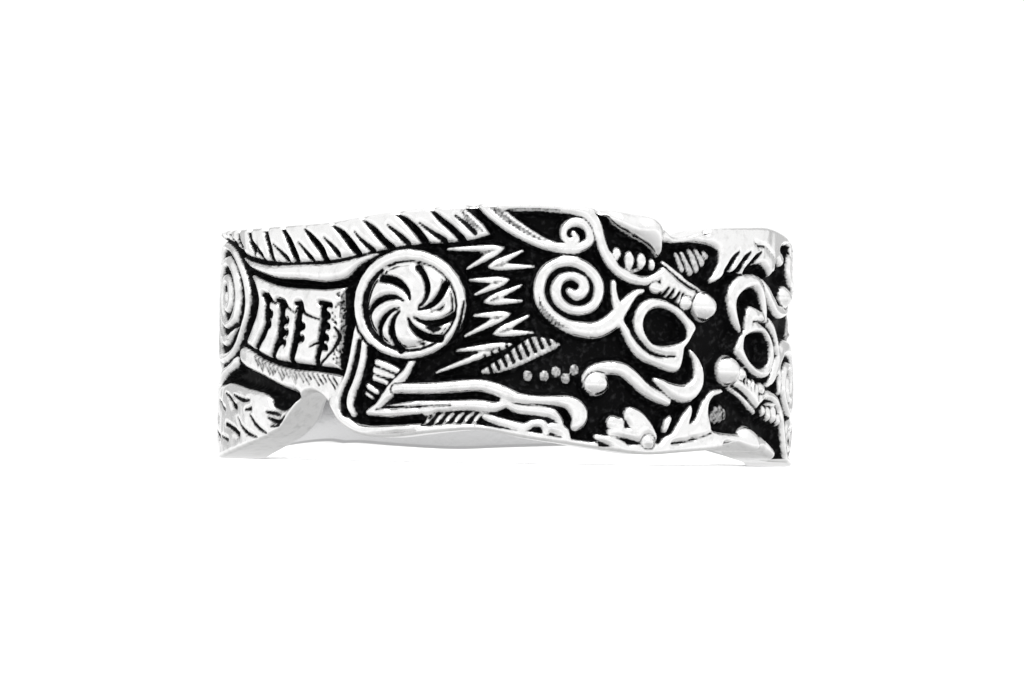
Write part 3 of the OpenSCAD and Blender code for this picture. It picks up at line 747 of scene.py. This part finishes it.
def drawJaws(canvas, chin):
    lift(canvas, snout["bridge"], edge=0.25)
    cutAll(canvas, snout["ribs"], edge=0.06, steps=1)
    lift(canvas, snout["strip"], top=0.8, edge=0.1)
    lift(canvas, jaws["mouth"], top=1.1, edge=0.22, gap=0.05, steps=3)
    cut(canvas, jaws["hollow"], edge=0.14, steps=3)
    lift(canvas, jaws["lip"], top=1.1, edge=0.24, steps=3)
    cut(canvas, jaws["lipLine"], edge=0.07)
    lift(canvas, jaws["curl"], edge=0.22)
    lift(canvas, chin, top=1.1, edge=0.28, gap=0.05)
    lift(canvas, oval(*jaws["curlBall"]), top=jaws["curlHeight"], edge=0.42, gap=0.04, power=2, steps=1)
    lift(canvas, oval(*snout["nostril"], count=14), top=1.15, edge=0.24, gap=0.03, power=2, steps=1)
    lift(canvas, oval(*snout["ball"]), top=snout["ballHeight"], edge=0.57, gap=0.05, power=2, steps=1)


# The forepaw with its claws, and the ribbed pad that it holds under the other beast's snout

paw = {
    "lobes": [
        [(4.05, -3.2, 0.25), (4.25, -3.25, 0.25)],
        [(4.78, -2.9, 0.28), (5.02, -3.1, 0.37), (5.3, -3.4, 0.4), (5.6, -3.7, 0.3)],
        [(3.95, -3.54, 0.12), (4.5, -3.56, 0.17), (5.1, -3.65, 0.22)],
        [(3.4, -3.72, 0.08), (3.9, -3.85, 0.14), (4.5, -4.02, 0.12)],
        [(4, -4.15, 0.1), (4.8, -4.2, 0.2), (5.7, -4.25, 0.28), (6.6, -4.2, 0.28)],
        [(6.25, -3.42, 0.1), (6.35, -3.15, 0.13), (6.5, -2.98, 0.07)],
    ],
    "balls": [((5.5, -3.87), 0.27, 0.25)],
    "ballHeight": 1.15,
    "plate": [
        (6.2, -3.75), (6.6, -3.55), (6.9, -3.15), (7.2, -2.75), (7.52, -2.5), (7.5, -2.9), (7.35, -3.2),
        (7.7, -3.05), (7.95, -2.6), (8.15, -2.3), (8.25, -2.6), (8.3, -3.05), (8.5, -3.35),
        (9, -3.5), (10.2, -3.55), (11.3, -3.5), (11.4, -4.2), (11, -5.2), (6, -5.2), (5.9, -4.3),
    ],
    "stem": [
        (8.35, -3.3, 0.16), (8.2, -2.8, 0.15), (8.28, -2.35, 0.12), (8.6, -2.05, 0.1),
        (9.1, -1.95, 0.07),
    ],
    "slits": [],
    "creases": [
        [(6.5, -3.93, 0.03), (7.3, -3.82, 0.05), (8, -3.66, 0.03), (8.5, -3.5, 0.02)],
        [(9.2, -3.9, 0.03), (10, -3.85, 0.05), (10.9, -3.95, 0.03)],
    ],
    "pad": [
        (11.35, -3.2), (10.6, -3.37), (9.6, -3.42), (8.94, -3.33), (8.69, -3.1), (8.86, -2.67),
        (9.44, -2.3), (9.94, -2.1), (10.6, -2.58), (11.1, -2.92),
    ],
    "padRibs": [
        [(8.72, -3, 0.1), (8.8, -2.78, 0.08)], [(8.95, -3.06, 0.1), (9, -2.62, 0.1)],
        [(9.22, -3.02, 0.1), (9.24, -2.54, 0.1)], [(9.48, -2.94, 0.08), (9.46, -2.66, 0.08)],
    ],
    "padShine": -0.012,  # most of this pad is under the oxide
}

# The second beast's paw is one broad lump with three slits, and its pad is polished
otherPaw = {
    **paw,
    "lobes": [[(4.05, -3.2, 0.25), (4.25, -3.3, 0.25)], [(4.9, -2.85, 0.2), (5.1, -3.3, 0.4)]],
    "balls": [],
    "plate": [
        (1.6, -5.2), (2, -4.1), (3.2, -3.85), (4, -3.75), (4.4, -3.4), (4.65, -3),
        (4.9, -2.85), (5.14, -2.5), (5.4, -2.75), (5.8, -2.95), (6.3, -2.92), (6.65, -2.78),
        (6.95, -2.62), (7.2, -2.52), (7.6, -2.52), (7.95, -2.55), (8.3, -2.62), (8.5, -2.9),
        (8.6, -3.25), (9, -3.48), (10.2, -3.55), (11.3, -3.5), (11.4, -4.2), (11, -5.2),
    ],
    "stem": [(8.4, -3.4, 0.24), (8.35, -2.85, 0.24), (8.6, -2.45, 0.2), (8.98, -2.18, 0.1)],
    "slits": [
        [(7.5, -3.32, 0.02), (7.8, -3, 0.08), (8.2, -2.5, 0.13)],
        [(6.7, -3.36, 0.02), (7.1, -3.02, 0.09), (7.66, -2.45, 0.14)],
        [(5.98, -3.4, 0.02), (6.4, -3.06, 0.1), (6.98, -2.55, 0.16)],
    ],
    "creases": [
        [(6.5, -3.74, 0.02), (6.15, -3.62, 0.04), (5.5, -3.57, 0.03), (4.95, -3.25, 0.02)],
        paw["creases"][1],
    ],
    "padRibs": [
        [(10.66, -3.08, 0.06), (10.36, -2.5, 0.1)], [(10.36, -3.1, 0.08), (9.94, -2.42, 0.12)],
        [(9.98, -3.2, 0.09), (9.62, -2.55, 0.13)], [(9.64, -3.22, 0.1), (9.32, -2.8, 0.13)],
        [(9.2, -3.14, 0.12), (9.1, -3.06, 0.12)],
    ],
    "padShine": 0.006,
}


def drawPaw(canvas, p):
    lift(canvas, p["plate"], edge=0.26, steps=3)
    lift(canvas, p["stem"], edge=0.18)
    liftAll(canvas, p["lobes"], edge=0.22, steps=3)
    balls = [oval(*ball, count=16) for ball in p["balls"]]
    liftAll(canvas, balls, top=p["ballHeight"], edge=0.24, gap=0.04, power=2, steps=1)
    cutAll(canvas, p["slits"], edge=0.1)
    cutAll(canvas, p["creases"], edge=0.06, depth=0.6)
    cut(canvas, p["pad"], edge=0.12, steps=3)
    liftAll(canvas, p["padRibs"], top=0.6, edge=0.12, bright=p["padShine"], steps=1)


# The far side of the band, which the photo doesn't show: thigh, shin and a curled tail

rear = {
    "strokes": [
        [(-16.7, 0.4, 0.2), (-17.4, -0.8, 0.28), (-18.6, -2.1, 0.32), (-18.7, -3.2, 0.35),
         (-17.4, -4.1, 0.35), (-15.5, -4.35, 0.3)],
        [(-13.3, -1, 0.3), (-14.6, -1.35, 0.22), (-16.2, -2.1, 0.25), (-17.2, -2.9, 0.25)],
        [(-16.6, 3, 0.2), (-18.5, 2.9, 0.3), (-20.8, 2.75, 0.34), (-23, 2.2, 0.34),
         (-24.2, 0.6, 0.34), (-23.6, -1.1, 0.32), (-22, -1.8, 0.3), (-20.5, -1, 0.28),
         (-20.4, 0.5, 0.26), (-21.7, 1.2, 0.24), (-22.7, 0.3, 0.22), (-22.1, -0.5, 0.26)],
    ],
    "slits": [
        [(-17.6, -1.1, 0.05), (-18.3, -2, 0.09), (-18.4, -3, 0.06)],
        [(-19.2, 2.87, 0.04), (-20.8, 2.7, 0.08), (-22.7, 2.12, 0.08), (-23.9, 0.7, 0.07),
         (-23.5, -0.7, 0.04)],
    ],
}


def drawRear(canvas):
    liftAll(canvas, rear["strokes"], edge=0.3)
    cutAll(canvas, rear["slits"], edge=0.1)


def drawBeast(u, v, ownPaw, brow, dent, chin):
    canvas = {"u": u, "v": v, "height": np.zeros(u.shape)}
    canvas["shine"] = np.full(u.shape, -drawing["reach"])
    for part in (drawCrest, drawFlank, drawBelly, drawHindFoot, drawRear, drawHip, drawForeleg,
                 drawForearm, drawShoulder, drawMane):
        part(canvas)
    drawPaw(canvas, ownPaw)
    drawHead(canvas, brow, dent)
    drawJaws(canvas, chin)
    return canvas["height"], canvas["shine"]


# The cast mesh: the drawing wrapped round the band, with rounded rims and a plain bore

edges = {
    "top": [
        (-26.15, 4.12), (-25, 4.1), (-23, 4.2), (-20, 4.3), (-17.5, 4.2), (-15, 4.1),
        (-12, 4), (-9, 4), (-7, 4.05), (-5, 4.3), (-3, 4.5), (-1, 4.65), (1.2, 4.75),
        (3, 4.6), (4.5, 4.5), (5.5, 4.35), (6.1, 3.95), (6.5, 3.7), (7.2, 3.75), (8, 4),
        (8.72, 4.12),
    ],
    "low": [
        (-26.15, -4.12), (-25, -4.05), (-22.5, -4.2), (-19, -4.5), (-17, -4.75), (-15, -4.75),
        (-13, -4.5), (-11.5, -4.2), (-10.2, -3.85), (-9.2, -3.3), (-8.75, -2.6), (-8.2, -2.2),
        (-7.5, -2.3), (-6.95, -2.75), (-6.4, -3.4), (-5.5, -3.8), (-4.3, -3.85), (-2.5, -3.65),
        (-0.9, -3.55), (0.6, -3.8), (2.2, -4), (3.8, -4.2), (5.4, -4.35), (7, -4.25),
        (8, -4.18), (8.72, -4.12),
    ],
    # middle, reach and added rounding or height at the brow
    "rounder": (4.9, 0.95, 0.45),
    "otherRounder": (5.9, 0.95, 0.2),
    "otherFill": (6.65, 0.6, 0.5),
}

# The slow waves that casting leaves
waves = {
    "height": 0.03,
    "count": 14,
    "turns": (20, 160),  # fewest and most of them round the girth
    "slant": 4,          # most radians that a wave shifts per millimetre up the band
    "start": 6.28,
    "ground": 0.3,       # share of their height on the ground between the figures
}


def ownPlace(u):
    # the place on the beast's own drawing, and whether the beast is the second one
    turned = u > meetU
    return np.where(turned, 2 * meetU - u, u), turned


def swelling(u, middle, reach, more):
    return more * np.exp(-((u - middle) / reach) ** 2)


def edgeHeights(u):
    own, turned = ownPlace(u)
    top, under = smoothLine(edges["top"]), smoothLine(edges["low"])
    upper = np.interp(own, top[:, 0], top[:, 1])
    upper += np.where(turned, swelling(own, *edges["otherFill"]), 0)
    lower = np.interp(own, under[:, 0], under[:, 1])
    ends = np.where(turned, -upper, lower), np.where(turned, -lower, upper)
    return [np.clip(end, -band["half"], band["half"]) for end in ends]


def columnPlaces():
    parts, start = [], tailU
    for end, pitch in band["columns"]:
        end = min(end, tailU + girth)
        parts.append(np.linspace(start, end, round((end - start) / pitch), endpoint=False))
        start = end
    return np.concatenate(parts)


def rimWidths(u):
    # the lower and the upper edge's, each rounder at the brow that it carries
    own, turned = ownPlace(u)
    lowSwell = np.where(turned, swelling(own, *edges["otherRounder"]), 0)
    topSwell = np.where(turned, 0, swelling(own, *edges["rounder"]))
    return band["rim"] + lowSwell, band["rim"] + topSwell


def castWaves(u, v, height):
    total = np.zeros(u.shape)
    random = np.random.default_rng(7)
    for _ in range(waves["count"]):
        turns = random.integers(*waves["turns"])
        rise = random.uniform(-waves["slant"], waves["slant"])
        start = random.uniform(0, waves["start"])
        total += np.sin(2 * math.pi * turns * u / girth + rise * v + start) / waves["count"]
    return waves["height"] * total * (waves["ground"] + (1 - waves["ground"]) * height)


def softened(field):
    # takes the steps of the grid out of the steep walls
    across = (np.roll(field, 1, 1) + 2 * field + np.roll(field, -1, 1)) / 4
    padded = np.vstack([across[:1], across, across[-1:]])
    return (padded[:-2] + 2 * across + padded[2:]) / 4


def fullness(u):
    angle = np.degrees(np.abs((u / band["relief"] + math.pi) % (2 * math.pi) - math.pi))
    span = band["swellFull"] - band["swellFrom"]
    rise = np.clip((angle - band["swellFrom"]) / span, 0, 1)
    fall = np.clip((180 - angle) / span, 0, 1)
    return band["swell"] * rise ** 2 * (3 - 2 * rise) * fall ** 2 * (3 - 2 * fall)


def rimRows(radius, height, shine, wide, way):
    # over one edge of the band, from the relief to the bore
    rim, bore = band["rim"], np.full(len(radius), band["finger"])
    bright = np.full(len(radius), band["rimShine"])
    turn = np.linspace(0, math.pi / 2, band["rimSteps"] + 1)
    rows = []
    for a in turn[1:]:
        rows.append((radius - wide * (1 - math.cos(a)), height - way * wide * (1 - math.sin(a)),
                     shine + (bright - shine) * min(1, a)))
    rows.append((radius - wide - band["rimFlat"] * rim, height, bright))
    rows.append((bore + rim + band["rimFlat"] * rim, height, bright))
    for a in turn[::-1]:
        rows.append((bore + rim * (1 - math.cos(a)), height - way * rim * (1 - math.sin(a)), bright))
    return rows


def drawOutside(columns, v):
    # the radius and the shine of the outside
    u = np.broadcast_to(columns, v.shape).ravel()
    own = drawBeast(u, v.ravel(), paw, eye["brow"], eye["browDent"], jaws["chin"])
    other = drawBeast(2 * meetU - u, -v.ravel(), otherPaw, eye["otherBrow"], eye["otherDent"],
                      jaws["otherChin"])
    height, shine = (np.maximum(a, b) for a, b in zip(own, other))
    outer = band["ground"] + reliefHeight * height + castWaves(u, v.ravel(), height)
    return softened(outer.reshape(v.shape)) + fullness(columns), shine.reshape(v.shape)


def castRows(columns):
    # up the outside, over the upper rim, down the bore and back under the lower rim
    lower, upper = edgeHeights(columns)
    lowRim, topRim = rimWidths(columns)
    v = lower + lowRim + np.linspace(0, 1, band["rows"])[:, None] * (upper - lower - lowRim - topRim)
    outer, shine = drawOutside(columns, v)
    over = rimRows(outer[-1], upper, shine[-1], topRim, 1)
    under = rimRows(outer[0], lower, shine[0], lowRim, -1)
    rows = list(zip(outer, v, shine)) + over
    for t in np.linspace(0, 1, band["boreRows"] + 2)[1:-1]:
        rows.append(tuple(a + (b - a) * t for a, b in zip(over[-1], under[-1])))
    return [np.array(part) for part in zip(*(rows + under[::-1]))]


def makeCast():
    columns = columnPlaces()
    radii, heights, shines = castRows(columns)
    angle = columns / band["relief"]
    points = np.stack([radii * np.sin(angle), -radii * np.cos(angle), heights + band["half"]], axis=-1)
    index = np.arange(radii.size).reshape(radii.shape)
    right, above = np.roll(index, -1, axis=1), np.roll(index, -1, axis=0)
    corner = np.roll(above, -1, axis=1)
    faces = np.stack([index, right, corner, above], axis=-1).reshape(-1, 4)
    mesh = bpy.data.meshes.new("castRing")
    mesh.from_pydata((points.reshape(-1, 3) * mm).tolist(), [], faces.tolist(), shade_flat=False)
    shine = mesh.attributes.new("shine", "FLOAT", "POINT")
    shine.data.foreach_set("value", shines.ravel().astype(np.float32))
    print("cast ring made,", len(faces) * 2, "triangles")
    return addObject("castRing", mesh)


silver = {
    "metal": (0.87, 0.868, 0.865, 1),
    "tarnish": (0.68, 0.678, 0.675, 1),  # in faint patches on the tops
    "bore": (0.66, 0.66, 0.665, 1),      # painted shade on the inside of the bore
    "oxide": (0.002, 0.002, 0.0022, 1),
    "speck": (0.02, 0.02, 0.021, 1),
    "gloss": 0.04,           # mirror share of the oxide
    "polish": 0.2,           # roughness of the worn tops
    "matt": 0.55,            # roughness of the oxide
    "wear": (-0.025, 0.03),  # distance inside a figure's edge over which the oxide ends
    "wander": 0.06,          # how far that end wanders
    "boreShadeEnd": 0.05,        # height over the bore at which the painted shade ends
    # scale, detail and sometimes roughness of each noise, and the part of it that shows
    "ragged": (9000, 3),
    "specks": (5200, 5),
    "specksShown": (0.52, 0.75),
    "patches": (2600, 6, 0.65),
    "patchesShown": (0.5, 0.78),
    "grain": (3800, 4),
    "grainStrength": 0.12,
    "grainDepth": 0.04,
}
nodeGap = 200  # between the nodes in the shader editor, where they stand in one row


def feed(made, inputs):
    # each input gets a value, or the output that it is linked to
    for name, value in inputs.items():
        if isinstance(value, bpy.types.NodeSocket):
            made.id_data.links.new(value, made.inputs[name])
        else:
            made.inputs[name].default_value = value


def node(tree, kind, inputs, **settings):
    made = tree.nodes.new("ShaderNode" + kind)
    made.location = (nodeGap * len(tree.nodes), 0)
    for name, value in settings.items():
        setattr(made, name, value)
    feed(made, inputs)
    return made


def maths(tree, operation, *values):
    return node(tree, "Math", dict(enumerate(values)), operation=operation).outputs[0]


def mapped(tree, value, given, wanted=(0, 1), **settings):
    inputs = {"Value": value, "From Min": given[0], "From Max": given[1]}
    inputs.update({"To Min": wanted[0], "To Max": wanted[1]})
    return node(tree, "MapRange", inputs, **settings).outputs[0]


def mixed(tree, share, first, second):
    inputs = {"Factor": share, "A": first, "B": second}
    return node(tree, "Mix", inputs, data_type="RGBA").outputs["Result"]


def noise(tree, where, scale, detail, roughness=0.5):
    inputs = {"Vector": where, "Scale": scale, "Detail": detail, "Roughness": roughness}
    return node(tree, "TexNoise", inputs).outputs["Fac"]


def bareMetal(tree, where, s):
    # 0 on the oxide and 1 on the worn tops, with a ragged line between them
    shine = node(tree, "Attribute", {}, attribute_name="shine").outputs["Fac"]
    wander = maths(tree, "MULTIPLY_ADD", noise(tree, where, *s["ragged"]), s["wander"], -s["wander"] / 2)
    return mapped(tree, maths(tree, "ADD", shine, wander), s["wear"])


def overBore(tree, where, s):
    # 0 in the bore, which gets painted shade, and 1 on the rest, by the distance from the ring's axis
    parts = node(tree, "SeparateXYZ", {0: where}).outputs
    squareX = maths(tree, "MULTIPLY", parts["X"], parts["X"])
    square = maths(tree, "MULTIPLY_ADD", parts["Y"], parts["Y"], squareX)
    inner = (band["finger"] + s["boreShadeEnd"]) * mm
    return mapped(tree, square, (inner ** 2, (inner + band["rim"] * mm) ** 2))


def oxidisedSilver(s):
    material = bpy.data.materials.new("oxidisedSilver")
    material.use_nodes = True
    tree = material.node_tree
    tree.nodes.clear()
    where = node(tree, "TexCoord", {}).outputs["Object"]
    specks = mapped(tree, noise(tree, where, *s["specks"]), s["specksShown"])
    patches = mapped(tree, noise(tree, where, *s["patches"]), s["patchesShown"])
    oxide = mixed(tree, specks, s["oxide"], s["speck"])
    tops = mixed(tree, patches, s["metal"], s["tarnish"])
    # the bore gets a grey of painted shade
    metal = mixed(tree, overBore(tree, where, s), s["bore"], tops)
    bare = bareMetal(tree, where, s)
    grain = noise(tree, where, *s["grain"])
    bump = {"Height": grain, "Strength": s["grainStrength"], "Distance": s["grainDepth"] * mm}
    shader = node(tree, "BsdfPrincipled", {
        "Base Color": mixed(tree, bare, oxide, metal),
        "Metallic": bare,
        "Roughness": mapped(tree, bare, (0, 1), (s["matt"], s["polish"])),
        "Specular IOR Level": s["gloss"],
        "Normal": node(tree, "Bump", bump).outputs["Normal"],
    })
    node(tree, "OutputMaterial", {"Surface": shader.outputs["BSDF"]})
    return material


castRing = makeCast()
castRing.data.materials.append(oxidisedSilver(silver))
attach(castRing, "root")
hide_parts("band_ring")
print("ring dressed")

# A white floor, a bright sky and one soft lamp. The cards glow dimly, and only the metal
# mirrors them, which gives it its form.

studio = {
    "floorSize": 6.0,
    "floor": (0.97, 0.97, 0.97, 1),
    "floorRoughness": 0.8,
    "sky": 1.06,
    "lampPlace": (0, -0.14, 0.3),
    "lampSize": 0.3,
    "lampWatts": 1.5,
    "cards": [
        # middle, width, height, glow
        ((-0.12, 0.12, 0.06), 0.1, 0.2, 0.6),
        ((0.12, 0.12, 0.06), 0.1, 0.2, 0.6),
    ],
    # what the metal mirrors in place of the floor, a painted reflection: dim under the ring as a painted
    # shadow and white far out
    "mirrored": {"depth": 0.004, "size": 2.0, "near": 0.6, "far": 1.06, "steep": 0.75},
    "white": (1, 1, 1, 1),
    "black": (0, 0, 0, 1),
}


def facingRing(place, axis):
    return (Vector((0, 0, band["half"] * mm)) - Vector(place)).to_track_quat(axis, "Y").to_euler()


def makeSheet(name, width, height, look, place=(0, 0, 0)):
    mesh = bpy.data.meshes.new(name)
    x, y = width / 2, height / 2
    mesh.from_pydata([(-x, -y, 0), (x, -y, 0), (x, y, 0), (-x, y, 0)], [], [(0, 1, 2, 3)])
    material = bpy.data.materials.new(name)
    material.use_nodes = True
    feed(material.node_tree.nodes["Principled BSDF"], look)
    mesh.materials.append(material)
    sheet = addObject(name, mesh)
    sheet.location = place
    return sheet


def makeCard(name, width, height, place, glow):
    look = {"Base Color": studio["black"], "Emission Color": studio["white"], "Emission Strength": glow}
    card = makeSheet(name, width, height, look, place)
    card.rotation_euler = facingRing(place, "Z")
    card.visible_camera = card.visible_diffuse = card.visible_shadow = False
    return card


# a glowing sheet that only the metal mirrors: a painted reflection of the floor with a painted shadow
# under the ring
def makeMirroredFloor(m):
    card = makeCard("mirroredFloor", m["size"], m["size"], (0, 0, -m["depth"]), m["near"])
    tree = card.active_material.node_tree
    where = node(tree, "TexCoord", {}).outputs["Object"]
    reach = node(tree, "VectorMath", {0: where}, operation="LENGTH").outputs["Value"]
    slope = maths(tree, "DIVIDE", band["half"] * mm + m["depth"], reach)
    ends = (0, m["steep"]), (m["far"], m["near"])
    glow = mapped(tree, slope, *ends, interpolation_type="SMOOTHSTEP")
    feed(tree.nodes["Principled BSDF"], {"Emission Strength": glow})


def makeStudio(s):
    look = {"Base Color": s["floor"], "Roughness": s["floorRoughness"]}
    floor = makeSheet("paleFloor", s["floorSize"], s["floorSize"], look)
    floor.visible_glossy = False
    for place, width, height, glow in s["cards"]:
        makeCard("greyCard", width, height, place, glow)
    makeMirroredFloor(s["mirrored"])
    world = bpy.data.worlds.new("studio")
    world.use_nodes = True
    feed(world.node_tree.nodes["Background"], {"Color": s["white"], "Strength": s["sky"]})
    bpy.context.scene.world = world
    data = bpy.data.lights.new("softbox", "AREA")
    data.size, data.energy = s["lampSize"], s["lampWatts"]
    lamp = addObject("softbox", data)
    lamp.location = s["lampPlace"]
    lamp.rotation_euler = facingRing(s["lampPlace"], "-Z")


makeStudio(studio)
bpy.context.scene.view_settings.view_transform = "Standard"
print("studio lit")
